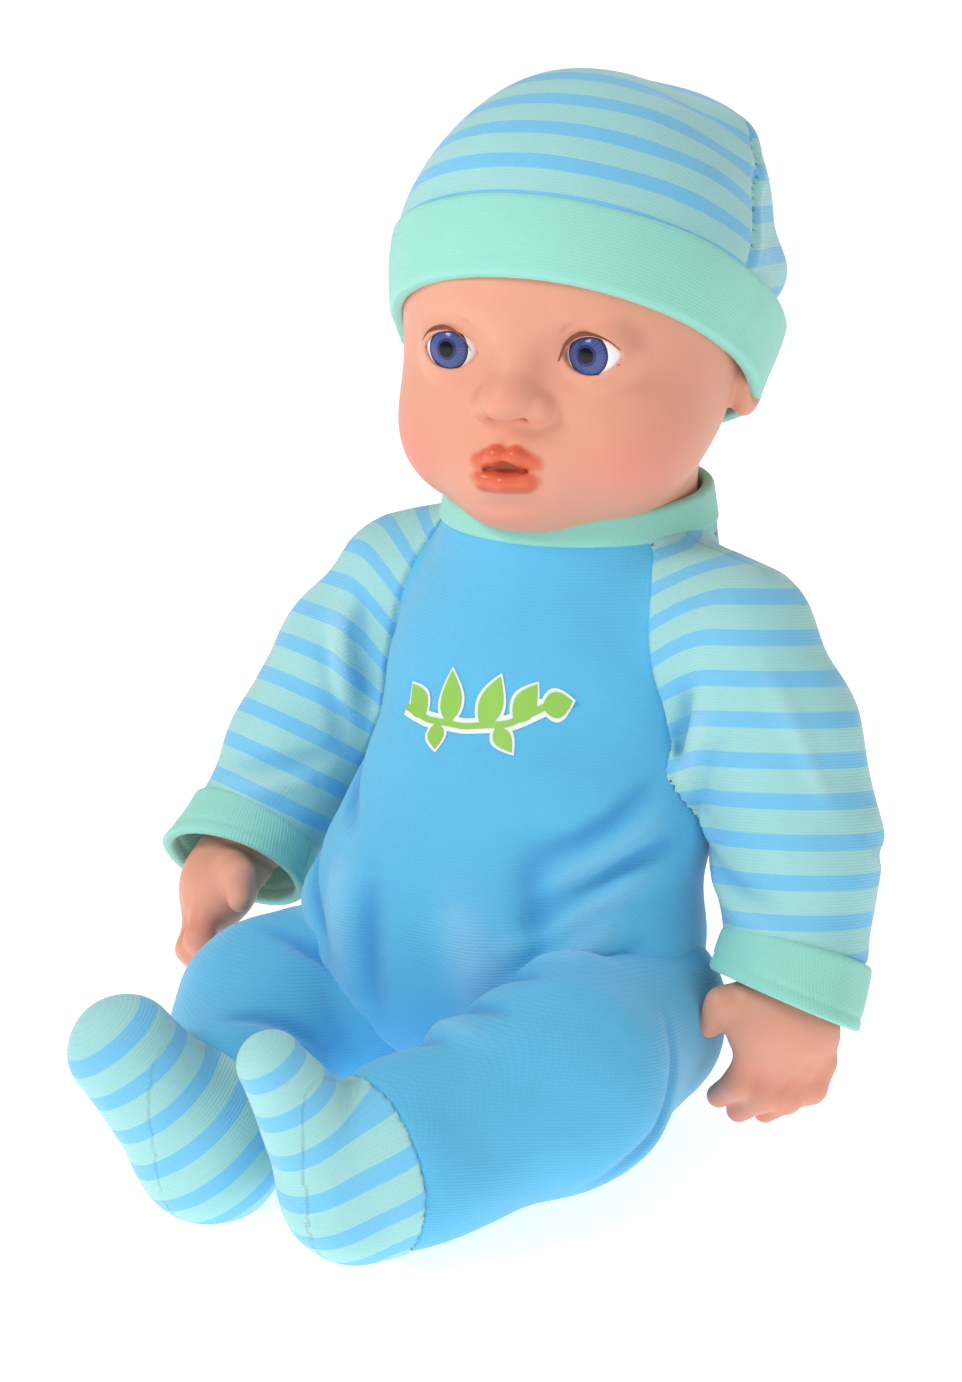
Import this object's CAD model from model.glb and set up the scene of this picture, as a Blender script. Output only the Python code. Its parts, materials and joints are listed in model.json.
"""Looks of the interactive baby doll: knitted suit and cap, vinyl face and hands.

Each soft or sculpted piece is a distance field, negative inside, in millimetres and in the
CAD model's frame. skin_of turns a field into a mesh in metres. The folds in the cloth are
ridges and grooves laid on the fields. Stripes and knit follow coordinates kept on the meshes.
"""
import json
import math
import bpy
import numpy as np
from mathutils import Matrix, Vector


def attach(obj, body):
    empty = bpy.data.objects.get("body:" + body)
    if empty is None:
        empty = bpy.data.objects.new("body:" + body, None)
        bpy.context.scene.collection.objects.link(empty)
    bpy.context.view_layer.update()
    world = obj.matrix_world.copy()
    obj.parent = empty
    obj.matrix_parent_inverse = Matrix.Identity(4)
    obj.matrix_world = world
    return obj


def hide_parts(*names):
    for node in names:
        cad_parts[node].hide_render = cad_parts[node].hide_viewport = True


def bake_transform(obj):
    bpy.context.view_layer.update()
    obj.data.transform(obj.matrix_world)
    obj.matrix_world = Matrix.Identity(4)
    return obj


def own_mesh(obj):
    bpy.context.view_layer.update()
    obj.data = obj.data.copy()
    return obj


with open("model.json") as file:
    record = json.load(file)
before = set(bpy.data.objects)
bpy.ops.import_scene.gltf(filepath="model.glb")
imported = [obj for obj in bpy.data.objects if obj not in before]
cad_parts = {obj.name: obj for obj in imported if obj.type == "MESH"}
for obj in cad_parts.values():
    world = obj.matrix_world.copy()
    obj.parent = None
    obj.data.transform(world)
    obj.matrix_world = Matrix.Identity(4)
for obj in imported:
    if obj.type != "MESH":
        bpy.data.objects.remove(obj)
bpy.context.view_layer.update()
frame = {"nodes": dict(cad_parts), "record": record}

MM = 0.001
SIDES = {"left": 1, "right": -1}
STRIPE_PERIOD = 12.2            # one blue and one mint row of the striped knit, in mm
KNIT_ROW, KNIT_STITCH = 0.95, 1.25
CLOTH = 2.4                     # thickness of the knit
FULL_RELIEF = 3.0               # a fold this high or deep has its full light or shade

# how far the fold lines below are raised or sunk
BODY_FOLD_DEPTH = 2.2
SLEEVE_FOLD_DEPTH = 1.5
LEG_FOLD_DEPTH = 1.9


# ---- places ---------------------------------------------------------------------------------

def turn(axis, degrees):
    """The matrix of a turn about "x", "y" or "z"."""
    third = "xyz".index(axis)
    first, second = (third + 1) % 3, (third + 2) % 3
    matrix = np.eye(3)
    matrix[first, first] = matrix[second, second] = math.cos(math.radians(degrees))
    matrix[second, first] = math.sin(math.radians(degrees))
    matrix[first, second] = -matrix[second, first]
    return matrix


class Place:
    """Where a piece's own axes stand on the doll. On the right side x is counted outward."""

    def __init__(self, centre=(0, 0, 0), turned=np.eye(3), side=1):
        self.centre = np.array(centre, float)
        self.turned = turned
        self.side = side

    def out(self, p):
        return (p * (self.side, 1, 1)) @ self.turned.T + self.centre

    def into(self, p):
        return ((p - self.centre) @ self.turned) * (self.side, 1, 1)


DOLL = Place()
HEAD = Place((0, 27, 245), turn("z", 14))
CAP = Place(HEAD.out(np.array((0, 3, 10.0))), HEAD.turned @ turn("x", -30))
ARMS = {
    "left": Place((58, 22, 154), turn("x", -2.5)),
    "right": Place((-58, 22, 154), turn("y", 3.0) @ turn("x", -22), -1),
}
LEGS = {"left": Place(), "right": Place(side=-1)}


# ---- distance fields ------------------------------------------------------------------------

def egg(p, centre, radii, turned=None):
    """An ellipsoid, whose distance is close near its surface."""
    q = p - np.array(centre, float)
    if turned is not None:
        q = q @ turned
    radii = np.array(radii, float)
    near = np.linalg.norm(q / radii, axis=1)
    steep = np.linalg.norm(q / radii ** 2, axis=1)
    return near * (near - 1) / np.maximum(steep, 1e-9)


def bone(p, start, end, start_radius, end_radius):
    """A round rod between two points whose radius changes evenly."""
    start, end = np.array(start, float), np.array(end, float)
    axis = end - start
    t = np.clip((p - start) @ axis / (axis @ axis), 0, 1)
    away = np.linalg.norm(p - start - t[:, None] * axis, axis=1)
    return away - start_radius - (end_radius - start_radius) * t


def block(p, low, high, round_by):
    """A box with rounded edges."""
    low, high = np.array(low, float) + round_by, np.array(high, float) - round_by
    q = np.abs(p - (low + high) / 2) - (high - low) / 2
    return np.linalg.norm(np.maximum(q, 0), axis=1) + np.minimum(q.max(axis=1), 0) - round_by


def rounded(across, up):
    """A flat profile from its two distances, with round corners once it is thickened."""
    outside = np.hypot(np.maximum(across, 0), np.maximum(up, 0))
    return outside + np.minimum(np.maximum(across, up), 0)


def blend(a, b, soft):
    """The union of two fields with a soft join."""
    h = np.clip(0.5 + 0.5 * (b - a) / soft, 0, 1)
    return b * (1 - h) + a * h - soft * h * (1 - h)


def carve(a, tool, soft):
    """The first field without the second, with soft edges."""
    return -blend(-a, tool, soft)


def meet(a, b, soft):
    """The intersection of two fields with soft edges."""
    return -blend(-a, -b, soft)


def chain(p, points, radii, soft=6.0):
    """Rods through several points."""
    d = None
    for start, end, r0, r1 in zip(points, points[1:], radii, radii[1:]):
        rod = bone(p, start, end, r0, r1)
        d = rod if d is None else blend(d, rod, soft)
    return d


def stroke(p, points, width, height):
    """A ridge, or with a negative height a groove, along a line of points. It fades at both ends."""
    points = np.array(points, float)
    lengths = np.linalg.norm(np.diff(points, axis=0), axis=1)
    reached = np.concatenate(((0.0,), np.cumsum(lengths)))
    best = np.full(len(p), 1e9)
    along = np.zeros(len(p))
    for start, end, length, before in zip(points, points[1:], lengths, reached):
        t = np.clip((p - start) @ (end - start) / length ** 2, 0, 1)
        away = np.linalg.norm(p - start - t[:, None] * (end - start), axis=1)
        closer = away < best
        best = np.where(closer, away, best)
        along = np.where(closer, before + t * length, along)
    fade = np.sin(np.pi * np.clip(along / reached[-1], 0.02, 0.98)) ** 0.6
    return height * fade * np.exp(-(best / width) ** 2)


def strokes(p, lines):
    """The sum of several ridges and grooves, each (width, height, points)."""
    return sum(stroke(p, points, width, height) for width, height, points in lines)


def spread(points, count):
    """A line through points, as more points in even steps."""
    points = np.array(points, float)
    steps = np.linspace(0, len(points) - 1, count)
    return np.column_stack([np.interp(steps, range(len(points)), column) for column in points.T])


def laid(field, lines):
    """The same ridges and grooves with their lines moved onto a field's surface."""
    placed = []
    for width, height, points in lines:
        placed.append((width, height, settle(field, spread(points, 2 * len(points)), 10)))
    return placed


def ripple(p, period, seed):
    """A gentle unevenness between -1 and 1, the same on each run."""
    draw = np.random.default_rng(seed)
    total = np.zeros(len(p))
    for _ in range(5):
        wave = draw.normal(size=3)
        wave *= 2 * np.pi / (period * draw.uniform(0.7, 1.5) * np.linalg.norm(wave))
        total += np.sin(p @ wave + draw.uniform(0, 2 * np.pi))
    return total / 5


# ---- meshes ---------------------------------------------------------------------------------

def sample(field, low, high, step):
    """Field values on a grid. Only blocks near the surface are sampled finely."""
    coarse = 4 * step
    low = np.array(low, float)
    counts = np.ceil((np.array(high, float) - low) / coarse).astype(int)
    axes = [low[i] + coarse * (np.arange(counts[i]) + 0.5) for i in range(3)]
    centres = np.stack(np.meshgrid(*axes, indexing="ij"), -1).reshape(-1, 3)
    rough = field(centres).reshape(counts)
    values = rough.astype(np.float32)
    for axis in range(3):
        values = np.repeat(values, 4, axis=axis)
    near = np.argwhere(np.abs(rough) < 1.3 * coarse)
    offsets = np.stack(np.meshgrid(*[np.arange(4)] * 3, indexing="ij"), -1).reshape(-1, 3)
    cells = (near[:, None, :] * 4 + offsets[None]).reshape(-1, 3)
    values[tuple(cells.T)] = field(low + step * (cells + 0.5))
    return values


def net(values, low, step):
    """Surface nets: one point in each grid cell that the surface crosses, joined by quads."""
    inside = values < 0
    n = np.array(inside.shape) - 1
    total = np.zeros(n, np.int8)
    for i in (0, 1):
        for j in (0, 1):
            for k in (0, 1):
                total += inside[i:i + n[0], j:j + n[1], k:k + n[2]]
    active = (total > 0) & (total < 8)
    index = np.full(n, -1, np.int32)
    index[active] = np.arange(active.sum())
    points = np.array(low, float) + step * (np.argwhere(active) + 1.0)
    quads = []
    for axis in range(3):
        b, c = (axis + 1) % 3, (axis + 2) % 3
        first = np.take(inside, range(inside.shape[axis] - 1), axis)
        second = np.take(inside, range(1, inside.shape[axis]), axis)
        edges = np.argwhere(first != second)
        keep = (edges[:, b] > 0) & (edges[:, c] > 0) & (edges[:, b] < n[b]) & (edges[:, c] < n[c])
        edges = edges[keep]
        corners = []
        for back_b, back_c in ((1, 1), (0, 1), (0, 0), (1, 0)):
            cell = edges.copy()
            cell[:, b] -= back_b
            cell[:, c] -= back_c
            corners.append(index[tuple(cell.T)])
        quad = np.stack(corners, 1)
        flip = ~first[tuple(edges.T)]
        quad[flip] = quad[flip][:, ::-1]
        quads.append(quad)
    return points, np.concatenate(quads)


def settle(field, points, rounds):
    """Moves points onto the surface of a field."""
    tiny = 0.05
    for _ in range(rounds):
        d = field(points)
        slope = np.stack([(field(points + tiny * axis) - d) / tiny for axis in np.eye(3)], 1)
        steep = np.maximum((slope ** 2).sum(1), 0.04)
        move = -d[:, None] * slope / steep[:, None]
        length = np.maximum(np.linalg.norm(move, axis=1), 1e-9)
        points = points + move * np.minimum(1, 2.0 / length)[:, None]
    return points


def relax(points, quads):
    """Moves each point to the middle of its neighbours."""
    total = np.zeros_like(points)
    count = np.zeros(len(points))
    for here, there in ((0, 1), (1, 2), (2, 3), (3, 0)):
        for a, b in ((here, there), (there, here)):
            for axis in range(3):
                total[:, axis] += np.bincount(quads[:, a], points[quads[:, b], axis], len(points))
            count += np.bincount(quads[:, a], minlength=len(points))
    return total / np.maximum(count, 1)[:, None]


def mesh_object(name, points, faces, place=DOLL):
    """An object from points in mm in a place's own axes. Its faces are all quads or all triangles."""
    faces = faces[:, ::-1] if place.side < 0 else faces
    mesh = bpy.data.meshes.new(name)
    mesh.vertices.add(len(points))
    mesh.vertices.foreach_set("co", (place.out(points) * MM).astype(np.float32).ravel())
    corners = faces.shape[1]
    mesh.loops.add(faces.size)
    mesh.loops.foreach_set("vertex_index", np.ascontiguousarray(faces, np.int32).ravel())
    mesh.polygons.add(len(faces))
    mesh.polygons.foreach_set("loop_start", np.arange(0, faces.size, corners, dtype=np.int32))
    mesh.polygons.foreach_set("use_smooth", np.ones(len(faces), bool))
    mesh.update(calc_edges=True)
    mesh.validate()
    obj = bpy.data.objects.new(name, mesh)
    bpy.context.scene.collection.objects.link(obj)
    return obj


def skin_of(name, field, low, high, step, place=DOLL):
    """The mesh of a field inside a box of the place's own axes. Returns it and its own points."""
    points, quads = net(sample(field, low, high, step), low, step)
    points = settle(field, points, 2)
    for _ in range(2):
        points = settle(field, relax(points, quads), 1)
    return mesh_object(name, points, quads, place), points


def keep(obj, name, values):
    """Keeps a number for each vertex, for the materials."""
    layer = obj.data.attributes.new(name, "FLOAT", "POINT")
    layer.data.foreach_set("value", np.asarray(values, np.float32))


def keep_knit(obj, rows, across, relief=0.0):
    """Keeps the two directions of the knit, in mm along the cloth and round it, and its folds."""
    rise = np.full(len(rows), relief) / FULL_RELIEF
    keep(obj, "rows", rows)
    keep(obj, "across", across)
    keep(obj, "hollow", np.clip(-rise, 0, 1))
    keep(obj, "crest", np.clip(rise, 0, 1))


# ---- materials ------------------------------------------------------------------------------

def linear(r, g, b):
    """A colour given as it looks on screen, 0 to 255, as scene-linear light."""
    light = [((v / 255 + 0.055) / 1.055) ** 2.4 if v > 10 else v / 255 / 12.92 for v in (r, g, b)]
    return (*light, 1.0)


SKY = linear(102, 200, 238)
MINT = linear(160, 226, 211)
STRIPE_BLUE = linear(126, 204, 242)
STRIPE_MINT = linear(172, 226, 218)
VINYL = linear(223, 153, 127)
BLUSH = linear(230, 124, 112)
LIPS = linear(222, 106, 72)
WHITE = (1.0, 1.0, 1.0, 1.0)
BLACK = (0.0, 0.0, 0.0, 1.0)


class Shader:
    """A node tree under construction, with its Principled surface."""

    def __init__(self, name):
        self.material = bpy.data.materials.new(name)
        self.material.use_nodes = True
        self.tree = self.material.node_tree
        self.surface = self.tree.nodes["Principled BSDF"]

    def node(self, kind, values=(), **settings):
        made = self.tree.nodes.new("ShaderNode" + kind)
        for key, value in settings.items():
            setattr(made, key, value)
        for socket, value in dict(values).items():
            self.give(made.inputs[socket], value)
        return made

    def give(self, socket, value):
        if isinstance(value, bpy.types.NodeSocket):
            self.tree.links.new(value, socket)
        else:
            socket.default_value = value

    def set(self, **values):
        for key, value in values.items():
            self.give(self.surface.inputs[key.replace("_", " ")], value)

    def math(self, operation, a, b=0.0, c=0.0, clamp=False):
        return self.node("Math", {0: a, 1: b, 2: c}, operation=operation, use_clamp=clamp).outputs[0]

    def kept(self, name):
        return self.node("Attribute", attribute_name=name).outputs["Fac"]

    def mix(self, amount, a, b):
        made = self.node("Mix", data_type="RGBA")
        self.give(made.inputs[0], amount)
        self.give(made.inputs[6], a)
        self.give(made.inputs[7], b)
        return made.outputs[2]

    def noise(self, scale, detail=2.0):
        where = self.node("TexCoord").outputs["Object"]
        return self.node("TexNoise", {"Vector": where, "Scale": scale, "Detail": detail}).outputs[0]

    def ramp(self, value, *stops):
        made = self.node("ValToRGB", {0: value})
        elements = made.color_ramp.elements
        while len(elements) < len(stops):
            elements.new(0.5)
        for element, (place, colour) in zip(elements, stops):
            element.position = place
            element.color = colour
        return made.outputs[0]

    def bump(self, height, distance, strength=1.0, below=None):
        made = self.node("Bump", {"Height": height, "Distance": distance, "Strength": strength})
        if below is not None:
            self.give(made.inputs["Normal"], below)
        return made.outputs["Normal"]


def wave_of(shader, value, period):
    """A wave from 0 to 1 along a kept coordinate."""
    angle = shader.math("MULTIPLY", value, 2 * math.pi / period)
    return shader.math("MULTIPLY_ADD", shader.math("SINE", angle), 0.5, 0.5)


def knit(name, colour, shade, striped=None):
    """Fine machine knit: rows of small stitches, a soft fuzz and slightly uneven colour.

    Folds are darker in their hollows and paler on their crests.
    """
    shader = Shader(name)
    rows, across = shader.kept("rows"), shader.kept("across")
    row_number = shader.math("FLOOR", shader.math("DIVIDE", rows, KNIT_ROW))
    shift = shader.math("MULTIPLY", row_number, KNIT_STITCH / 2)
    ridge = wave_of(shader, rows, KNIT_ROW)
    loop = wave_of(shader, shader.math("ADD", across, shift), KNIT_STITCH)
    height = shader.math("ADD", shader.math("MULTIPLY", ridge, 0.7), shader.math("MULTIPLY", loop, 0.5))
    if striped:
        place = shader.math("FRACT", shader.math("DIVIDE", rows, STRIPE_PERIOD))
        first, second = striped
        colour = shader.ramp(place, (0.0, first), (0.38, first), (0.4, second), (0.98, second), (1.0, first))
    uneven = shader.math("MULTIPLY", shader.noise(60.0, 4.0), 0.5)
    tone = shader.math("ADD", uneven, shader.math("MULTIPLY", height, 0.28), clamp=True)
    base = shader.mix(tone, shader.mix(0.3, colour, shade), colour)
    base = shader.mix(shader.math("MULTIPLY", shader.kept("hollow"), 0.75), base, shade)
    base = shader.mix(shader.math("MULTIPLY", shader.kept("crest"), 0.14), base, WHITE)
    shader.set(Base_Color=base, Roughness=0.72, Sheen_Weight=0.35, Sheen_Roughness=0.45,
               Specular_IOR_Level=0.25)
    fuzz = shader.bump(shader.noise(900.0, 3.0), 0.0002, 0.35)
    shader.set(Normal=shader.bump(height, 0.00022, 0.55, fuzz))
    return shader.material


def vinyl(name):
    """Soft matt vinyl with painted blush and lips."""
    shader = Shader(name)
    mottled = shader.mix(shader.noise(45.0, 3.0), linear(232, 166, 140), VINYL)
    rosy = shader.mix(shader.kept("blush"), mottled, BLUSH)
    painted = shader.mix(shader.kept("lips"), rosy, LIPS)
    fine_line = shader.mix(shader.kept("line"), painted, linear(140, 60, 38))
    roughness = shader.math("MULTIPLY_ADD", shader.kept("lips"), -0.22, 0.5)
    shader.set(Base_Color=fine_line, Roughness=roughness, Subsurface_Weight=0.12, Subsurface_Scale=0.004,
               Specular_IOR_Level=0.4)
    shader.surface.inputs["Subsurface Radius"].default_value = (1.0, 0.35, 0.2)
    shader.set(Normal=shader.bump(shader.noise(700.0, 2.0), 0.0001, 0.15))
    return shader.material


def moulded(name, colour, roughness=0.45, metallic=0.0):
    """Moulded plastic or plain metal with a fine texture."""
    shader = Shader(name)
    darker = tuple(0.88 * v for v in colour[:3]) + (1.0,)
    shader.set(Base_Color=shader.mix(shader.noise(120.0), darker, colour), Roughness=roughness,
               Metallic=metallic)
    shader.set(Normal=shader.bump(shader.noise(1500.0), 0.00005, 0.2))
    return shader.material


IRIS_RADIUS, PUPIL_RADIUS = 6.8, 2.4
IRIS_CENTRE_RADIUS = 3.3        # inside this the iris has no flecks
RIM_SCALE = 7.0                 # the iris darkens between 0.8 and 0.96 of this


def eye_material():
    """A glossy white ball with a dark-rimmed, flecked blue iris."""
    shader = Shader("doll_eye")
    away, around = shader.kept("away"), shader.kept("around")
    spokes = shader.node("TexNoise", {"Vector": shader.node("CombineXYZ", {0: around}).outputs[0],
                                      "Scale": 9.0, "Detail": 3.0}).outputs[0]
    fleck = shader.ramp(spokes, (0.35, linear(48, 58, 112)), (0.55, linear(78, 94, 152)),
                        (0.7, linear(108, 124, 176)))
    inner = shader.mix(shader.math("LESS_THAN", away, IRIS_CENTRE_RADIUS), fleck, linear(48, 56, 104))
    rim = shader.ramp(shader.math("DIVIDE", away, RIM_SCALE), (0.8, BLACK), (0.96, WHITE))
    iris = shader.mix(rim, inner, linear(22, 28, 66))
    pupil = shader.math("LESS_THAN", away, PUPIL_RADIUS)
    seen = shader.mix(pupil, iris, linear(6, 6, 10))
    white = shader.math("GREATER_THAN", away, IRIS_RADIUS)
    white_part = shader.mix(shader.noise(80.0), linear(246, 244, 244), linear(236, 236, 240))
    shader.set(Base_Color=shader.mix(white, seen, white_part), Roughness=0.12, Specular_IOR_Level=0.3)
    return shader.material


MATERIALS = {
    "suit": knit("sky_blue_knit", SKY, linear(40, 120, 200)),
    "mint": knit("mint_knit", MINT, linear(96, 190, 172)),
    "stripes": knit("striped_knit", SKY, linear(80, 160, 205), striped=(STRIPE_BLUE, STRIPE_MINT)),
    "skin": vinyl("doll_vinyl"),
    "eye": eye_material(),
    "lash": moulded("lash_paint", linear(128, 66, 40), 0.6),
    "leaf": moulded("leaf_print", linear(150, 205, 84), 0.55),
    "leaf_edge": moulded("print_white", linear(240, 248, 246), 0.55),
    "tape": moulded("fastener_tape", linear(92, 178, 226), 0.85),
}


def finish_piece(obj, material, replaced=(), body=None):
    """Gives a piece its material and slot, and says what it rides on and stands for."""
    obj.data.materials.clear()
    obj.data.materials.append(MATERIALS[material])
    if body:
        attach(obj, body)
    if replaced:
        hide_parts(*replaced)
    return obj


# ---- torso ----------------------------------------------------------------------------------

COLLAR_Y, COLLAR_RADIUS, COLLAR_SEAM = 29, 42, 185
NECKBAND_TOP = 194.0

BELLY_FOLDS = [
    # soft vertical drapes on the belly
    (7.0, 1.6, [(-30, -50, 90), (-26, -56, 68), (-20, -56, 48)]),
    (6.0, -1.2, [(-16, -54, 86), (-14, -59, 66), (-12, -57, 46)]),
    (8.0, 1.4, [(14, -52, 84), (22, -54, 64), (26, -50, 46)]),
    (6.0, -1.3, [(34, -44, 100), (38, -46, 80), (36, -46, 60)]),
    # creases that run from the crotch over the hips
    (3.2, -1.9, [(-58, -20, 66), (-38, -42, 50), (-16, -52, 34), (0, -50, 26)]),
    (4.5, 1.6, [(-54, -26, 74), (-36, -48, 58), (-14, -57, 40)]),
    (3.2, -1.8, [(56, -22, 70), (40, -42, 54), (20, -52, 38), (4, -50, 26)]),
    (4.5, 1.6, [(54, -28, 78), (38, -48, 62), (18, -57, 44)]),
    # drapes across the belly, and pulls under the arms
    (3.5, -1.6, [(60, -6, 100), (52, -30, 92), (34, -50, 76)]),
    (5.0, 1.4, [(58, -14, 92), (46, -38, 84), (28, -54, 68)]),
    (3.5, -1.6, [(-60, -8, 84), (-48, -34, 74), (-28, -50, 62)]),
    (3.0, -1.4, [(-52, -6, 128), (-44, -22, 112), (-38, -34, 94)]),
    (3.0, -1.3, [(52, -8, 116), (44, -26, 104), (30, -40, 96)]),
    (3.5, 1.1, [(54, -8, 108), (46, -28, 96), (32, -44, 86)]),
    (3.0, -1.2, [(-52, -6, 114), (-44, -24, 102), (-30, -40, 92)]),
]


def torso(p):
    """The suit's body: belly, chest, shoulders and seat."""
    d = egg(p, (-3, -6, 60), (65, 57, 60))
    d = blend(d, egg(p, (0, 12, 128), (54.4, 42.4, 50.4)), 14)
    d = blend(d, egg(p, (3, 3, 100), (59, 48, 42)), 10)
    d = blend(d, egg(p, (0, 25, 152), (50.4, 38.4, 22.4)), 8)
    d = blend(d, bone(p, (-44, 23, 157), (44, 23, 157), 23, 23), 8)
    d = blend(d, block(p, (-24.4, -32.4, 0), (24.4, 27.4, 60), 10), 12)
    d = blend(d, egg(p, (0, 2, 28), (54, 48, 37)), 10)
    d = blend(d, egg(p, (0, 32, 136), (46, 39, 54)), 10)
    away = np.hypot(p[:, 0], p[:, 1] - COLLAR_Y)
    flare = 0.28 - 0.23 * np.clip((p[:, 1] - COLLAR_Y) / 35, 0, 1)
    stand = meet(away - COLLAR_RADIUS - flare * (COLLAR_SEAM - p[:, 2]), 144 - p[:, 2], 8)
    d = meet(blend(d, stand, 7), p[:, 2] - COLLAR_SEAM - 1, 2)
    return d


def around_z(p):
    """Millimetres round the doll's middle."""
    return np.arctan2(p[:, 0], -p[:, 1] + 12) * 50


BODY_FOLDS = laid(torso, BELLY_FOLDS)


def torso_cloth(p):
    """The torso with its folds, let in a little where the sleeves lie over it."""
    under_sleeve = 2.2 * np.clip(raglan(p) / 1.6, 0, 1)
    d = torso(p) - BODY_FOLD_DEPTH * strokes(p, BODY_FOLDS) - 0.8 * ripple(p, 34, 3) + under_sleeve
    return np.maximum(d, 0.2 - p[:, 2])


def make_body():
    obj, points = skin_of("romper_body", torso_cloth, (-74, -70, -4), (74, 78, 190), 1.25)
    keep_knit(obj, points[:, 2], around_z(points), BODY_FOLD_DEPTH * strokes(points, BODY_FOLDS))
    finish_piece(obj, "suit", ["suit_body"], "torso")


def make_neckband():
    def band(p):
        q = p - (0, COLLAR_Y, 0)
        away = np.hypot(q[:, 0], q[:, 1])
        lean = COLLAR_RADIUS - 0.6 - 0.16 * (p[:, 2] - COLLAR_SEAM)
        rise = NECKBAND_TOP + 0.05 * np.maximum(q[:, 1] + 20, 0)
        base = COLLAR_SEAM - 1.5
        across = np.abs(away - lean) - 0.4
        up = np.abs(p[:, 2] - (rise + base) / 2) - (rise - base) / 2 + 1.6
        return rounded(across, up) - 1.5

    obj, points = skin_of("neckband_knit", band, (-50, -20, 176), (50, 78, 204), 0.9)
    keep_knit(obj, around_z(points), points[:, 2])
    finish_piece(obj, "mint", ["neckband"], "torso")


# ---- sleeves, cuffs and hands ---------------------------------------------------------------

SLEEVE = [(2, 0, -2), (16, 3, -28), (27, 3, -58), (33, -5, -90)]
SLEEVE_RADII = {"left": (25, 25, 23.5, 21.5), "right": (23, 24, 23.5, 21)}
CUFF_END = (33, -12, -105)
SLEEVE_FOLDS = [
    # the deep fold that hangs from the front of the shoulder to the armpit
    (3.0, -2.6, [(4, -26, -8), (-1, -25, -24), (-8, -18, -42)]),
    (5.0, 2.4, [(10, -25, -10), (6, -25, -28), (0, -21, -48)]),
    (3.5, -1.6, [(14, -24, -20), (6, -22, -40), (0, -14, -58)]),
    # rings round the elbow and above the cuff
    (3.0, -1.3, [(2, -14, -58), (16, -22, -66), (34, -20, -70)]),
    (4.0, 1.2, [(4, -16, -68), (18, -24, -74), (38, -20, -78)]),
    (3.0, -1.2, [(50, 0, -52), (46, 16, -62), (30, 26, -68)]),
    (3.5, 1.0, [(26, -20, 4), (34, -14, -20), (44, -8, -44)]),
]


def raglan(p):
    """How far a point of the doll lies beyond the slanting seam between body and sleeve."""
    down = np.maximum((185 - p[:, 2]) / 66, 0)
    edge = 38 + 17 * (1 - (1 - np.minimum(down, 1)) ** 2) + 40 * np.maximum(down - 1, 0)
    return (np.abs(p[:, 0]) - edge) * 0.9


def make_sleeve(name, side):
    place = ARMS[name]
    radii = SLEEVE_RADII[name]
    folds = laid(lambda p: chain(p, SLEEVE, radii, 12), SLEEVE_FOLDS)

    def sleeve(p):
        world = place.out(p)
        shoulder = meet(torso(world) - 0.7 - 0.8 * ripple(world, 34, 3), -raglan(world), 0.8)
        inward = np.maximum(shoulder, -side * world[:, 0])
        arm = chain(p, SLEEVE, radii, 12) - SLEEVE_FOLD_DEPTH * strokes(p, folds) - 0.7 * ripple(p, 26, 5)
        end = (p - SLEEVE[-1]) @ np.array((0.18, -0.3, -0.93))
        slope = bone(world, (side * 30, 28, 168), (side * 60, 22, 155), 16, radii[0] - 1)
        whole = blend(blend(arm, inward, 7), np.maximum(slope, -raglan(world)), 8)
        return np.maximum(meet(whole, end - 3.0, 3.0), world[:, 2] - COLLAR_SEAM - 1)

    obj, points = skin_of(name + "_sleeve_knit", sleeve, (-60, -52, -126), (64, 54, 44), 1.25, place)
    inner = np.maximum(10 - points[:, 0], 0) ** 2 / (18 + np.abs(10 - points[:, 0]))
    upper = np.clip((points[:, 2] + 62) / 30, 0, 1) * np.clip((14 - points[:, 1]) / 20, 0, 1)
    rows = points[:, 2] - 0.12 * points[:, 0] + 0.8 * inner * upper + 0.15 * points[:, 1]
    across = np.arctan2(points[:, 1], points[:, 0] - 14) * 26
    keep_knit(obj, rows, across, SLEEVE_FOLD_DEPTH * strokes(points, folds))
    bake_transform(obj)
    finish_piece(obj, "stripes", [name + "_sleeve"])


def make_cuff(name):
    place = ARMS[name]
    start, end = np.array(SLEEVE[-1], float), np.array(CUFF_END, float)
    axis = (end - start) / np.linalg.norm(end - start)

    def cuff(p):
        q = p - start
        down = q @ axis
        away = np.linalg.norm(q - down[:, None] * axis, axis=1)
        slant = 0.16 * (p[:, 0] - 34)
        wall = np.abs(away - 21.4 - 0.08 * down - 0.5 * ripple(p, 18, 8)) - 0.6
        length = np.abs(down - 6.5 - slant / 2) - 7.0 - slant / 2
        hem = np.exp(-((down - slant - 10.5) / 0.8) ** 2) * 0.5
        return rounded(wall, length) - 1.3 + hem

    obj, points = skin_of(name + "_cuff_knit", cuff, (0, -46, -122), (70, 30, -72), 0.9, place)
    down = (points - start) @ axis
    keep_knit(obj, np.arctan2(points[:, 1] + 6, points[:, 0] - 34) * 21, down)
    finish_piece(obj, "mint", [name + "_cuff"], name + "_arm")


PALM = np.array((36, -14, -115.0))
ACROSS_HAND = np.array((0.67, 0.74, 0.0))
BACK_OF_HAND = np.array((0.74, -0.67, 0.0))
FINGERS = [
    # knuckle, middle joint and tip of each finger as (across, back, down), with the tip's radius
    ((-10.5, 1.5, 4), (-14.5, 2.0, 12), (-18.5, -4.5, 18), 3.7),
    ((-3.0, 2.5, 7), (-7.5, 3.0, 16), (-12.0, -4.5, 23), 3.8),
    ((4.5, 2.0, 8), (0.5, 2.5, 17), (-3.5, -5.0, 24), 3.6),
    ((11.5, 0.5, 7), (8.5, 1.0, 15), (5.0, -5.5, 21), 3.3),
]


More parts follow.
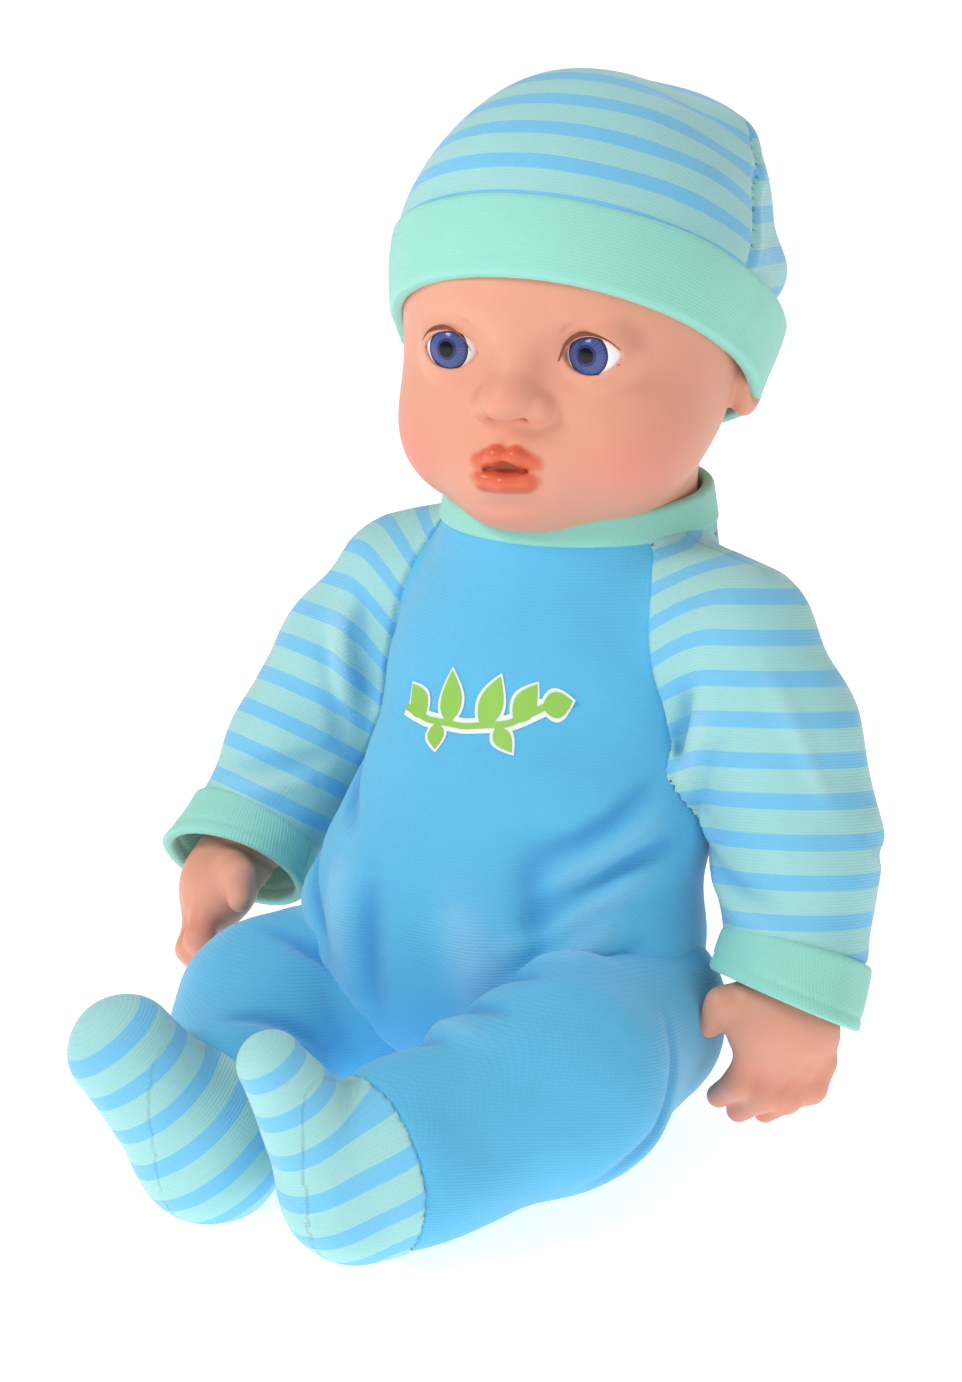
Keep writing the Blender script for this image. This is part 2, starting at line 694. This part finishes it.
def in_hand(across, back, down):
    return PALM + across * ACROSS_HAND + back * BACK_OF_HAND + down * np.array((0, 0, -1.0))


def hand(p):
    """A chubby hand with the thumb forward and the fingers curling in."""
    turned = np.stack((ACROSS_HAND, BACK_OF_HAND, (0, 0, -1.0)), 1)
    d = egg(p, in_hand(0.5, 0, -2), (16.5, 10.5, 15), turned)
    d = blend(d, bone(p, (33, -6, -90), in_hand(0, -1, -8), 14, 12), 6)
    d = blend(d, egg(p, in_hand(-9, -4, -6), (8.5, 8, 10), turned), 5)
    for knuckle, middle, tip, radius in FINGERS:
        joints = [in_hand(*knuckle), in_hand(*middle), in_hand(*tip)]
        d = blend(d, chain(p, joints, (5.0, 4.7, radius), 2.0), 2.2)
    thumb = [in_hand(-12, -3, -13), in_hand(-18.5, -4.5, -11), in_hand(-22, -6.5, -4)]
    d = blend(d, chain(p, thumb, (6.0, 4.9, 3.9), 3), 3.0)
    for knuckle, *_ in FINGERS:
        dimple = in_hand(knuckle[0] + 0.4, knuckle[1] + 8.6, knuckle[2] - 3)
        d = d + 0.9 * np.exp(-(np.linalg.norm(p - dimple, axis=1) / 2.6) ** 2)
    crease = np.abs((p - in_hand(0, 0, -19)) @ np.array((0.1, -0.25, -0.96)))
    return d + 0.8 * np.exp(-(crease / 1.3) ** 2)


def make_hand(name):
    place = ARMS[name]

    def vinyl_hand(p):
        return np.maximum(hand(p), p[:, 2] + 92)

    obj, points = skin_of(name + "_hand_vinyl", vinyl_hand, (4, -50, -150), (66, 20, -84), 0.85, place)
    tips = np.zeros(len(points))
    for knuckle, _, tip, _ in FINGERS:
        tips += 0.35 * np.exp(-(np.linalg.norm(points - in_hand(*tip), axis=1) / 7) ** 2)
        between = in_hand(knuckle[0] - 3.6, knuckle[1], knuckle[2] + 4)
        tips += 0.5 * np.exp(-(np.linalg.norm(points - between, axis=1) / 5) ** 2)
    keep(obj, "blush", np.clip(tips, 0, 0.6))
    keep(obj, "lips", np.zeros(len(points)))
    keep(obj, "line", np.zeros(len(points)))
    finish_piece(obj, "skin", [name + "_arm"], name + "_arm")


# ---- legs and feet --------------------------------------------------------------------------

LEG = {
    "left": [(38, -4, 38), (54, -57, 38), (36, -107, 28), (27, -121, 20), (14, -141, 61)],
    "right": [(38, -4, 36), (54, -58, 33), (33, -110, 26), (25, -123, 19), (41, -141, 52)],
}
LEG_RADII = {"left": (34, 29, 27), "right": (33, 27, 24)}
FOOT_RADII = {"left": (25, 19.5, 9.5), "right": (22, 20, 16)}
LEG_FOLDS = {
    "left": [
        (3.0, -2.2, [(16, -26, 60), (30, -34, 70), (52, -32, 70)]),
        (5.0, 2.0, [(18, -34, 58), (34, -44, 68), (56, -42, 66)]),
        (3.0, -1.8, [(18, -44, 50), (34, -56, 62), (50, -60, 66)]),
        (2.6, -1.8, [(28, -66, 44), (36, -74, 58), (50, -78, 62)]),
        (3.6, 1.5, [(26, -74, 40), (34, -84, 54), (48, -88, 56)]),
        (3.0, -1.2, [(72, -70, 20), (76, -52, 34), (70, -36, 52)]),
        # creases out of the crotch, and the cloth gathered above the ankle
        (3.0, -1.9, [(8, -40, 54), (20, -42, 62), (34, -38, 68)]),
        (3.0, -1.7, [(8, -52, 44), (22, -58, 54), (38, -60, 62)]),
        (3.0, -1.2, [(14, -88, 36), (24, -92, 52), (40, -94, 56)]),
    ],
    "right": [
        (3.0, -2.2, [(14, -26, 60), (32, -34, 70), (54, -30, 68)]),
        (5.0, 2.2, [(16, -36, 56), (34, -46, 68), (58, -42, 64)]),
        (3.0, -2.0, [(16, -48, 46), (32, -60, 60), (52, -62, 66)]),
        (3.0, -1.6, [(24, -76, 36), (32, -92, 42), (34, -104, 46)]),
    ],
}


def leg_line(name):
    return [np.array(point, float) for point in LEG[name]]


def ankle_cut(name, p):
    """How far a point lies beyond the seam between trouser leg and foot."""
    _, knee, ankle, _, _ = leg_line(name)
    axis = ankle - knee + (0, 0, 6)
    axis = axis / np.linalg.norm(axis)
    return (p - ankle - 11.0 * axis) @ axis


def leg_and_foot(name, p):
    hip, knee, ankle, heel, toe = leg_line(name)
    leg = chain(p, (hip, knee, ankle), LEG_RADII[name], 16)
    foot = chain(p, (ankle, heel, toe), FOOT_RADII[name], 8)
    leg = blend(leg, egg(p, (24, -32, 36), (24, 29, 25)), 10)
    return np.maximum(blend(leg, foot, 6), 0.2 - p[:, 2])


def make_leg(name):
    place = LEGS[name]
    folds = laid(lambda p: leg_and_foot(name, p), LEG_FOLDS[name])

    def trouser(p):
        d = leg_and_foot(name, p) - LEG_FOLD_DEPTH * strokes(p, folds) - 0.9 * ripple(p, 30, 11)
        d = np.maximum(np.maximum(d, 6 - p[:, 0]), 0.2 - p[:, 2])
        return np.maximum(d, ankle_cut(name, p))

    obj, points = skin_of(name + "_leg_knit", trouser, (0, -132, -4), (90, 40, 80), 1.25, place)
    rows = points[:, 1] * 0.2 + points[:, 2] * 0.98
    keep_knit(obj, rows, points[:, 1], LEG_FOLD_DEPTH * strokes(points, folds))
    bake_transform(obj)
    finish_piece(obj, "suit", [name + "_trouser", name + "_leg"])


def make_foot(name):
    place = LEGS[name]
    *_, heel, toe = leg_line(name)
    axis = (toe - heel) / np.linalg.norm(toe - heel)

    def sock(p):
        d = leg_and_foot(name, p) - 0.3 - 0.5 * ripple(p, 22, 13)
        return np.maximum(np.maximum(d, -ankle_cut(name, p)), 0.2 - p[:, 2])

    obj, points = skin_of(name + "_foot_knit", sock, (-6, -164, -4), (66, -88, 76), 1.1, place)
    around = np.arctan2(points[:, 0] - heel[0], points[:, 1] - heel[1]) * 18
    keep_knit(obj, (points - heel) @ axis + 3, around)
    finish_piece(obj, "stripes", [name + "_foot"], name + "_leg")


# ---- head -----------------------------------------------------------------------------------

EYE = np.array((22, -40.5, -1.5))
EYE_RADIUS = 11.5
LID_RADII = (12.7, 12.5, 12.5)  # the lids lie on an egg a little larger than the eyeball
FACE_SHIFT, FACE_ROLL, FACE_LEAN = 1.2, 1.3, 0.1


def features(p):
    """A point of the head in the face's own axes: shifted, rolled, and leaning to one side lower down."""
    q = (p - (FACE_SHIFT, 0, 0)) @ turn("y", -FACE_ROLL)
    q[:, 0] -= FACE_LEAN * np.minimum(q[:, 2] + 1.5, 0)
    return q


def mirrored(p):
    """The points with x counted outward, for what is the same on both sides of the face."""
    return np.column_stack((np.abs(p[:, 0]), p[:, 1:]))


def lids(q):
    """The almond opening of the eye, as a prism along the line of sight."""
    x, z = q[:, 0] - EYE[0], q[:, 2] - EYE[2]
    upper = np.hypot(x, z + 4.3) - 10.0
    lower = np.hypot(x, z - 4.0) - 9.7
    return np.maximum(upper, lower)


def skull(p):
    """The head without its features."""
    d = blend(egg(p, (0, 3, 10), (53.5, 59.5, 57.5)), egg(p, (0, -11, -20), (49, 42, 37.5)), 10)
    return blend(d, egg(mirrored(p), (22, -27, -31), (22, 21, 20)), 12)


LID_CREASE = [(11.5, -51, 4.5), (17, -53, 7.4), (22, -54, 8.2), (28, -51, 6.6), (33, -48, 3.0)]


def face(head):
    """The head with its chin, cheeks, nose, eye openings and lips, without the ears."""
    p = features(head)
    q = mirrored(p)
    d = skull(head)
    d = blend(d, egg(p, (0, -38, -47), (17, 12, 10)), 12)
    d = blend(d, egg(p, (0, -43, -35), (20, 13, 14)), 9)
    # the nose: bridge, tip and wings
    d = blend(d, bone(p, (0, -48, 0), (0, -55, -10), 6.0, 6.5), 9)
    d = blend(d, egg(p, (0, -58.6, -13.8), (7.8, 7.0, 6.4)), 3.5)
    d = blend(d, egg(q, (8.2, -54.0, -16.4), (4.6, 5.8, 4.8)), 2.2)
    # eye sockets, then lids that follow the eyeball
    d = carve(d, egg(q, (22, -57, -1), (12, 6, 8)), 8)
    d = blend(d, egg(q, EYE, LID_RADII), 2.5)
    brow = stroke(q, [(10, -54, 12), (22, -52, 16), (34, -46, 11)], 7, 1.0)
    crease = stroke(q, LID_CREASE, 0.9, -0.9)
    bag = stroke(q, [(14, -51, -8), (22, -53, -10.8), (31, -48, -8.5)], 1.6, -0.6)
    d = d - brow - crease - bag
    opening = np.maximum(lids(q), np.maximum(q[:, 1] + 40, -q[:, 1] - 70))
    d = carve(d, opening, 0.7)
    # nostrils, the folds beside the nose and the groove above the lip
    d = carve(d, bone(q, (4.2, -59, -21.0), (5.0, -54, -18.8), 1.2, 1.0), 1.4)
    d = d - stroke(q, [(12.8, -50, -11), (13.8, -48, -16.5), (11.5, -50, -21.5)], 1.8, -1.3)
    d = d - stroke(p, [(0, -56, -21.5), (0, -56, -28.0)], 1.9, -1.4)
    return lips(p, q, d)


UPPER_LIP = [(0.4, -57.0, -31.6), (3.0, -57.0, -30.9), (8.6, -54.0, -33.2), (15.4, -48.2, -36.2)]
LOWER_LIP = [(0, -56.4, -38.8), (6.4, -54.6, -38.5), (13.8, -49.4, -36.5)]


def lips(p, q, d):
    d = blend(d, chain(q, UPPER_LIP, (2.0, 2.5, 2.1, 0.9), 1.2), 1.8)
    d = blend(d, chain(q, LOWER_LIP, (3.2, 2.9, 1.1), 1.5), 1.8)
    # the slightly open mouth, higher in its middle
    gap = blend(egg(p, (0.2, -58, -34.3), (3.2, 4.0, 2.0)), egg(p, (0.2, -58, -35.3), (8.0, 4.4, 1.1)), 1.2)
    line = stroke(q, [(4, -56.4, -35.7), (9, -53.4, -36), (15.4, -48.4, -36.4)], 0.8, -0.9)
    d = carve(d, gap, 1.2) - line
    corner = np.linalg.norm(q - (16.4, -47.4, -36.6), axis=1)
    d = d + 1.3 * np.exp(-(corner / 2.4) ** 2)
    return d - stroke(p, [(-9, -50, -46.0), (0, -52.5, -47.0), (9, -50, -46.0)], 3.2, -1.0)


def lip_paint(p):
    q = mirrored(features(p))
    upper = chain(q, UPPER_LIP, (2.1, 2.6, 2.2, 1.1), 1)
    lower = chain(q, LOWER_LIP, (3.4, 3.1, 1.4), 1)
    return 1 - np.clip((np.minimum(upper, lower) - 0.1) / 0.9, 0, 1)


def ears(p):
    q = mirrored(p)
    d = egg(q, (50.0, 13, -18), (5.0, 8.5, 10))
    return carve(d, egg(q, (55.5, 11.5, -18), (3.5, 4.5, 6.5)), 2)


def make_face():
    def skin(p):
        d = blend(face(p), ears(p), 3)
        neck = bone(p, (0, 1, -70), (0, -1, -46), 37, 38)
        return np.maximum(blend(d, neck, 6), -57.2 - p[:, 2])

    obj, points = skin_of("face_vinyl", skin, (-62, -70, -62), (62, 68, 74), 0.95, HEAD)
    p = features(points)
    q = mirrored(p)
    cheek = np.exp(-(np.linalg.norm((q - (34, -40, -34)) / (13, 30, 10), axis=1)) ** 2)
    chin = 0.25 * np.exp(-(np.linalg.norm((p - (0, -52, -52)) / (11, 20, 6), axis=1)) ** 2)
    tip = 0.2 * np.exp(-(np.linalg.norm(p - (0, -62, -14), axis=1) / 8) ** 2)
    nostril = 0.7 * np.exp(-(np.linalg.norm(q - (4.0, -56, -19.4), axis=1) / 2.2) ** 2)
    keep(obj, "blush", np.clip(0.45 * cheek + chin + tip + nostril, 0, 0.9))
    keep(obj, "lips", lip_paint(points))
    between_lips = (np.abs(p[:, 2] + 35.0) < 2.4) * (np.abs(p[:, 0]) < 9)
    keep(obj, "line", 0.5 * np.clip((p[:, 1] + 56.4) / 1.6, 0, 1) * between_lips)
    finish_piece(obj, "skin", ["head_shell"], "head")


def make_eye(name, side):
    """An eyeball with its pole along the line of sight."""
    rings, spokes = 48, 96
    gaze = np.array((-0.10 - 0.02 * side, -1, 0.02))
    gaze /= np.linalg.norm(gaze)
    right = np.cross(gaze, (0, 0, 1.0))
    right /= np.linalg.norm(right)
    up = np.cross(right, gaze)
    polar = np.repeat(np.linspace(0, math.pi, rings + 1)[1:-1], spokes)
    around = np.tile(np.arange(spokes) * 2 * math.pi / spokes, rings - 1)
    ball = (np.cos(polar)[:, None] * gaze + (np.sin(polar) * np.cos(around))[:, None] * right
            + (np.sin(polar) * np.sin(around))[:, None] * up)
    ball = np.vstack((gaze, ball, -gaze)) * (EYE_RADIUS - 0.1)
    centre = (EYE * (side, 1, 1)) @ turn("y", -FACE_ROLL).T + (FACE_SHIFT, 0, 0)
    faces = []
    for ring in range(rings - 2):
        for spoke in range(spokes):
            a, b = 1 + ring * spokes + spoke, 1 + ring * spokes + (spoke + 1) % spokes
            faces.append((a, a + spokes, b + spokes))
            faces.append((a, b + spokes, b))
    last = len(ball) - 1
    for spoke in range(spokes):
        after = (spoke + 1) % spokes
        faces.append((0, 1 + spoke, 1 + after))
        faces.append((last, last - spokes + after, last - spokes + spoke))
    obj = mesh_object(name + "_eyeball", ball + centre, np.array(faces), HEAD)
    polar = np.concatenate(((0.0,), polar, (math.pi,)))
    angle = np.concatenate(((0.0,), around, (0.0,)))
    keep(obj, "away", polar * EYE_RADIUS)
    keep(obj, "around", np.abs(angle - math.pi) * 2)
    finish_piece(obj, "eye", [name + "_eye"], "head")


def ribbon(name, centre_line, widths, lift, field, place):
    """A thin tapered painted line laid on a field's surface."""
    count = 24
    line = spread(centre_line, count)
    last = len(centre_line) - 1
    wide = np.interp(np.linspace(0, last, count), np.linspace(0, last, len(widths)), widths)
    along = np.gradient(line, axis=0)
    sideways = np.cross(along, (0, -1.0, 0))
    sideways /= np.linalg.norm(sideways, axis=1)[:, None]
    rows = []
    for offset in (-0.5, 0.0, 0.5):
        rows.append(settle(lambda p: field(p) - lift, line + sideways * (wide * offset)[:, None], 4))
    points = np.concatenate(rows)
    faces = []
    for row in range(2):
        for step in range(count - 1):
            a = row * count + step
            faces.append((a, a + 1, a + 1 + count, a + count))
    return mesh_object(name, points, np.array(faces), place)


def make_lashes():
    """A painted line along each upper lid, thickest near its middle."""
    def plain_face(p):
        return blend(skull(p), egg(mirrored(features(p)), EYE, LID_RADII), 2.5)

    for name, side in SIDES.items():
        start, end = (-11.0, 8.6) if side > 0 else (-10.0, 9.3)
        lash = []
        for t in np.linspace(0, 1, 9):
            x = start + (end - start) * t
            z = -4.3 + math.sqrt(max(10.7 ** 2 - x ** 2, 1.0)) + 2.6 * (1 - t) ** 3
            y = math.sqrt(max(12.9 ** 2 - x ** 2 - z ** 2, 4.0))
            lash.append((side * EYE[0] + x, EYE[1] - y, EYE[2] + z))
        lash = np.array(lash) @ turn("y", -FACE_ROLL).T + (FACE_SHIFT, 0, 0)
        obj = ribbon(name + "_lash_line", lash, (0.4, 1.6, 1.7, 1.0, 0.6, 0.3), 0.12, plain_face, HEAD)
        finish_piece(obj, "lash", (), "head")


# ---- cap ------------------------------------------------------------------------------------

def cap_outside(p):
    """The cap about its own upright axis: a dome over a nearly straight wall."""
    dome = egg(p, (0, 0, 0), (57.0, 63.2, 66.0))
    away = np.hypot(p[:, 0] / 57.4, p[:, 1] / 63.2)
    wall = (away - 1) * 60
    d = np.where(p[:, 2] > 0, dome, wall)
    corner = egg(p, (20, 14, 42), (27, 27, 26))
    nape = egg(p, (12, 32, 22), (40, 30, 20))
    return blend(blend(d, corner, 12), nape, 12)


CAP_FOLDS = [
    (2.2, -1.0, [(0, 63, 4), (0, 58, 30), (0, 44, 52)]),
    (4.0, 1.2, [(30, -30, 50), (44, -6, 46), (50, 18, 36)]),
    (4.5, -1.0, [(20, -34, 52), (38, -4, 52), (44, 22, 42)]),
    (4.0, 0.9, [(52, 30, 14), (42, 44, 26), (24, 54, 34)]),
]


def behind_seam(p):
    """How far a point of the cap lies behind the seam of its back panel."""
    return p[:, 1] + 14.6 - 0.39 * p[:, 2]


def make_cap_crown():
    def crown(p):
        d = cap_outside(p) - strokes(p, CAP_FOLDS) - 0.7 * ripple(p, 30, 21)
        behind = behind_seam(p)
        d = d + (1.1 * np.exp(-(behind / 1.3) ** 2) - 0.7 * np.exp(-((behind - 4) / 2.5) ** 2))
        shell = np.maximum(d, -(d + CLOTH))
        return np.maximum(shell, -2 - p[:, 2])

    obj, points = skin_of("cap_crown_knit", crown, (-66, -72, -8), (66, 72, 72), 1.2, CAP)
    front_rows = points[:, 2] + 7.0 * np.clip((points[:, 1] + 10) / 60, 0, 1) ** 2
    back_rows = 0.9 * points[:, 2] - 0.4 * points[:, 1] + 3
    rows = np.where(behind_seam(points) > 0, back_rows, front_rows)
    keep_knit(obj, rows, np.arctan2(points[:, 0], -points[:, 1]) * 55)
    finish_piece(obj, "stripes", ["cap_crown"], "cap")


def make_cap_band():
    def band(p):
        q = HEAD.into(CAP.out(p))
        out = 1.8 + 1.2 * np.clip((p[:, 2] + 14) / 18, 0, 1) + 5.5 * np.clip((p[:, 1] + 8) / 40, 0, 1)
        wall = np.abs(skull(q) - out - 0.3 * ripple(p, 26, 23)) - 0.5
        top = 3.8 + 0.4 * ripple(p, 40, 24)
        drop = 4.0 * np.clip((p[:, 1] + 5) / 40, 0, 1)
        middle, half = (top - 20 - drop) / 2, (top + 20 + drop) / 2
        up = np.abs(p[:, 2] - middle) - half + 1.6
        return rounded(wall, up) - 1.6

    obj, points = skin_of("cap_band_knit", band, (-70, -70, -34), (70, 74, 10), 1.0, CAP)
    keep_knit(obj, points[:, 2], np.arctan2(points[:, 0], -points[:, 1]) * 58)
    finish_piece(obj, "mint", ["cap_band"], "cap")


# ---- print and fastener ---------------------------------------------------------------------

def leaf_outline(length, width):
    """A pointed leaf along +x from the origin, as points round its edge."""
    t = np.linspace(0, 1, 14)
    edge = width * np.sin(np.pi * t ** 0.8) * 0.5
    upper = np.column_stack((t * length, edge))
    lower = np.column_stack((t * length, -edge))[::-1][1:-1]
    return np.vstack((upper, lower))


def on_front(flat, lift):
    """Points given in x and z, laid on the front of the torso's cloth and lifted off it."""
    ahead = np.column_stack((flat[:, 0], np.full(len(flat), -34.0), flat[:, 1]))
    return settle(lambda p: torso_cloth(p) - lift, ahead, 8)


def flat_patch(name, outline, lift):
    """A filled outline in x and z, laid on the front of the torso."""
    centre = outline.mean(axis=0)
    rings = 5
    points = [centre]
    for ring in range(1, rings + 1):
        points.extend(centre + (outline - centre) * ring / rings)
    count = len(outline)
    faces = []
    for spoke in range(count):
        after = (spoke + 1) % count
        faces.append((0, 1 + spoke, 1 + after))
        for ring in range(rings - 1):
            a, b = 1 + ring * count + spoke, 1 + ring * count + after
            faces.append((a, a + count, b + count))
            faces.append((a, b + count, b))
    return mesh_object(name, on_front(np.array(points), lift), np.array(faces)[:, ::-1])


def make_print():
    """A sprig of leaves on a curved stem, lime green with a white edge."""
    middle = np.array((1.5, 139.0))
    scale = 1.22
    stem = np.array([(-23, -4), (-12, -6.5), (0, -6.5), (12, -3.5), (23, 3)], float)
    # each leaf's place, the way it points in degrees, its length and its width
    leaves = [(-14, -6, 140, 12, 6.5), (-5, -6.5, 100, 14, 7), (5, -5.5, 75, 14, 7), (14, -2.5, 60, 12, 6.5),
              (22, 2.5, 20, 11, 6), (-9, -7, -70, 8, 5), (9, -5, -45, 8, 5)]
    pieces = []
    for rank, (x, z, angle, length, width) in enumerate(leaves):
        a = math.radians(angle)
        turned = np.array(((math.cos(a), math.sin(a)), (-math.sin(a), math.cos(a))))
        for edge, lift, look in ((1.2, 0.22, "leaf_edge"), (0.0, 0.42, "leaf")):
            outline = leaf_outline(scale * length + 2 * edge, scale * width + 2 * edge)
            outline = (outline - (edge, 0)) @ turned + middle + scale * np.array((x, z))
            obj = flat_patch(f"sprig_{look}_{rank}", outline, lift)
            pieces.append((obj, look))
    count = 30
    for half, lift, look in ((2.6, 0.2, "leaf_edge"), (1.0, 0.4, "leaf")):
        line = scale * spread(stem, count)
        normal = np.gradient(line, axis=0)[:, ::-1] * (1, -1)
        normal /= np.linalg.norm(normal, axis=1)[:, None]
        outline = np.vstack((line + normal * half, (line - normal * half)[::-1])) + middle
        faces = np.array([(i, i + 1, 2 * count - 2 - i, 2 * count - 1 - i) for i in range(count - 1)])
        pieces.append((mesh_object(f"sprig_{look}_stem", on_front(outline, lift), faces), look))
    for obj, look in pieces:
        finish_piece(obj, look, ["suit_print"], "torso")


def make_fastener():
    def strip(p):
        d = torso_cloth(p) - 0.7
        q = np.abs(p - (0, 60, 117)) - (5, 60, 50)
        beside = np.maximum(q[:, 0], q[:, 2])
        return np.maximum(np.maximum(d, -(d + 1.4)), beside)

    obj, points = skin_of("back_fastener_strip", strip, (-8, 20, 60), (8, 72, 172), 0.9)
    keep_knit(obj, points[:, 2], points[:, 0])
    finish_piece(obj, "tape", ["back_fastener"], "torso")


# ---- carried-over CAD nodes -----------------------------------------------------------------

def dress_frame():
    """Gives every CAD node a finish that fits its material slot."""
    looks = {}
    for entry in frame["record"].get("materials", []):
        slot = entry["slot"]
        colour = tuple(entry.get("base_color", (0.8, 0.8, 0.8)))[:3] + (1.0,)
        looks[slot] = moulded("cad_" + slot, colour, entry.get("roughness", 0.5), entry.get("metallic", 0.0))
    for name, node in frame["nodes"].items():
        old = node.data.materials[0].name if node.data.materials else ""
        match = next((slot for slot in looks if old.startswith(slot)), None)
        finish = looks.get(match) or moulded("cad_" + name, (0.8, 0.8, 0.8, 1.0))
        for index in range(max(1, len(node.data.materials))):
            if index < len(node.data.materials):
                node.data.materials[index] = finish
            else:
                node.data.materials.append(finish)


def squash_springs():
    """The two return springs shorten when the piece before them is pressed in."""
    for name, joint, travel, axis in (
            ("button_spring", "chest_press", 0.0025, np.array((0, 1.0, 0))),
            ("mouth_spring", "mouth_press", 0.003, HEAD.turned @ (0, 1.0, 0))):
        spring = frame["nodes"][name]
        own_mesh(spring)


# ---- stage ----------------------------------------------------------------------------------

def make_stage():
    mesh = bpy.data.meshes.new("floor")
    half = 15.0
    corners = [(-half, -half, 0), (half, -half, 0), (half, half, 0), (-half, half, 0)]
    mesh.from_pydata(corners, [], [(0, 1, 2, 3)])
    floor = bpy.data.objects.new("floor", mesh)
    bpy.context.scene.collection.objects.link(floor)
    sweep = Shader("lit_sweep")
    pale = sweep.mix(sweep.noise(3.0), (0.94, 0.94, 0.95, 1), (0.97, 0.97, 0.97, 1))
    sweep.set(Base_Color=pale, Roughness=0.9, Emission_Color=WHITE, Emission_Strength=0.68)
    floor.data.materials.append(sweep.material)
    world = bpy.data.worlds.new("studio")
    world.use_nodes = True
    background = world.node_tree.nodes["Background"]
    background.inputs["Color"].default_value = WHITE
    background.inputs["Strength"].default_value = 0.4
    bpy.context.scene.world = world


def aim(obj, target):
    obj.rotation_euler = (Vector(target) - obj.location).to_track_quat("-Z", "Y").to_euler()


def make_lights():
    target = (0, 0, 0.15)
    for name, place, size, power in (
            ("key", (-0.5, -1.3, 1.3), 0.5, 14.0),
            ("fill", (1.6, -0.9, 0.8), 1.2, 2.5),
            ("top", (0.1, 0.4, 1.7), 1.2, 4.0)):
        light = bpy.data.lights.new(name, "AREA")
        light.size = size
        light.energy = power
        obj = bpy.data.objects.new(name, light)
        obj.location = place
        aim(obj, target)
        bpy.context.scene.collection.objects.link(obj)


def make_camera():
    azimuth, elevation, distance = math.radians(36), math.radians(16), 0.96
    target = Vector((0.014, -0.042, 0.146))
    back = Vector((math.sin(azimuth) * math.cos(elevation), -math.cos(azimuth) * math.cos(elevation),
                   math.sin(elevation)))
    camera = bpy.data.cameras.new("camera")
    camera.lens = 85
    camera.sensor_width = 36
    obj = bpy.data.objects.new("camera", camera)
    obj.location = target + back * distance
    aim(obj, target)
    bpy.context.scene.collection.objects.link(obj)
    bpy.context.scene.camera = obj


make_stage()
make_lights()
make_camera()
dress_frame()
squash_springs()
make_body()
make_neckband()
for side_name, side_sign in SIDES.items():
    make_sleeve(side_name, side_sign)
    make_cuff(side_name)
    make_hand(side_name)
    make_leg(side_name)
    make_foot(side_name)
    make_eye(side_name, side_sign)
make_face()
make_lashes()
make_cap_crown()
make_cap_band()
make_print()
make_fastener()
bpy.context.scene.view_settings.view_transform = "Standard"
